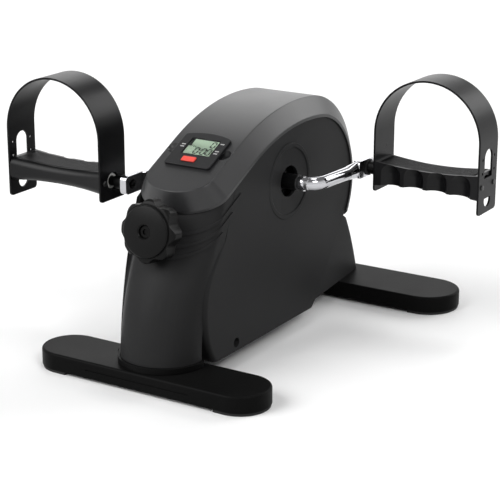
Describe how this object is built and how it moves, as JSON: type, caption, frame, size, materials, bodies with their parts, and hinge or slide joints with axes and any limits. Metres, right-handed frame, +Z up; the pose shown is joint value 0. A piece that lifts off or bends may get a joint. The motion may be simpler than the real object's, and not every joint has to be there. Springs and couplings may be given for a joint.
{
  "type": "pedal exerciser",
  "caption": "Floor-standing pedal exerciser with strapped pedals, chrome cranks, a small lift-out meter and a tension knob, on two cross feet.",
  "frame": {"origin": "on the ground, under the middle of the crank axle", "axes": "+X to the sitter's right along the crank axle, +Y away from the sitter, +Z up; the knob and meter end faces -Y"},
  "size_m": [0.4468, 0.408, 0.27],
  "materials": {
    "body_plastic": "fine matt grain",
    "foot_rubber": "matt",
    "frame_steel": "satin black paint",
    "zinc_steel": "satin",
    "black_steel": "blacked",
    "chrome_arm": "polished",
    "dark_plastic": "fine matt grain",
    "white_plastic": "satin",
    "magnet": "satin",
    "cast_wheel": "turned",
    "belt_rubber": "matt",
    "felt": "felt",
    "meter_plastic": "satin",
    "clear_lens": "polished",
    "lcd": "satin",
    "board": "satin",
    "red_button": "satin",
    "strap_rubber": "matt"
  },
  "bodies": {
    "base": {"left_shell": "body_plastic", "right_shell": "body_plastic", "hood_cover": "body_plastic", "front_collar": "body_plastic", "cover_screws": "zinc_steel", "front_foot": "body_plastic", "rear_foot": "body_plastic", "front_foot_tube": "frame_steel", "rear_foot_tube": "frame_steel", "front_foot_pads": "foot_rubber", "rear_foot_pads": "foot_rubber", "front_foot_bolts": "zinc_steel", "rear_foot_bolts": "zinc_steel", "main_frame": "frame_steel", "speed_sensor": "white_plastic", "left_crank_bearing": "zinc_steel", "right_crank_bearing": "zinc_steel", "flywheel_axle": "zinc_steel", "flywheel_nuts": "zinc_steel", "axle_spacers": "zinc_steel", "drive_belt": "belt_rubber", "screw_bush": "white_plastic", "meter_cradle": "meter_plastic"},
    "crank": {"crank_axle": "zinc_steel", "left_axle_sleeve": "dark_plastic", "right_axle_sleeve": "dark_plastic", "drive_pulley": "white_plastic", "speed_magnet": "magnet", "left_crank_arm": "chrome_arm", "right_crank_arm": "chrome_arm", "arm_pins": "zinc_steel", "left_spindle": "zinc_steel", "right_spindle": "zinc_steel", "left_spindle_washer": "dark_plastic", "right_spindle_washer": "dark_plastic", "left_spindle_nut": "zinc_steel", "right_spindle_nut": "zinc_steel"},
    "left_pedal": {"left_pedal": "dark_plastic", "left_strap": "strap_rubber", "left_strap_pegs": "zinc_steel", "left_pedal_bushes": "white_plastic"},
    "right_pedal": {"right_pedal": "dark_plastic", "right_strap": "strap_rubber", "right_strap_pegs": "zinc_steel", "right_pedal_bushes": "white_plastic"},
    "flywheel": {"flywheel": "cast_wheel", "small_pulley": "white_plastic", "flywheel_bearings": "zinc_steel"},
    "knob": {"tension_knob": "dark_plastic", "tension_screw": "black_steel"},
    "brake": {"brake_carrier": "white_plastic", "brake_pad": "felt"},
    "meter": {"meter_case": "meter_plastic", "meter_lens": "clear_lens", "meter_display": "lcd", "meter_board": "board", "meter_back": "meter_plastic", "button_cell": "zinc_steel"},
    "button": {"reset_button": "red_button"}
  },
  "joints": [
    {"name": "crank_spin", "type": "hinge", "parent": "base", "child": "crank", "pos_m": [0, 0, 0.168], "axis": [1, 0, 0], "continuous": true},
    {"name": "flywheel_spin", "type": "hinge", "parent": "base", "child": "flywheel", "pos_m": [0, -0.04, 0.112], "axis": [1, 0, 0], "continuous": true},
    {"name": "left_pedal_spin", "type": "hinge", "parent": "crank", "child": "left_pedal", "pos_m": [-0.163, -0.092, 0.168], "axis": [1, 0, 0], "continuous": true},
    {"name": "right_pedal_spin", "type": "hinge", "parent": "crank", "child": "right_pedal", "pos_m": [0.163, 0.092, 0.168], "axis": [1, 0, 0], "continuous": true},
    {"name": "knob_turn", "type": "hinge", "parent": "base", "child": "knob", "pos_m": [0, -0.1865, 0.1554], "axis": [0, 0.9848, -0.1736], "range_deg": [0, 1440]},
    {"name": "brake_slide", "type": "slide", "parent": "base", "child": "brake", "axis": [0, 0.9848, -0.1736], "range_m": [0, 0.007]},
    {"name": "meter_lift", "type": "slide", "parent": "base", "child": "meter", "axis": [0, -0.4384, 0.8988], "range_m": [0, 0.025]},
    {"name": "reset_press", "type": "slide", "parent": "meter", "child": "button", "axis": [0, 0.4384, -0.8988], "range_m": [0, 0.0008], "stiffness_N_per_m": 400}
  ],
  "couplings": [
    {"joint": "flywheel_spin", "follows": "crank_spin", "ratio": 3.5385},
    {"joint": "knob_turn", "follows": "brake_slide", "rad_per_m": 3590.4}
  ]
}
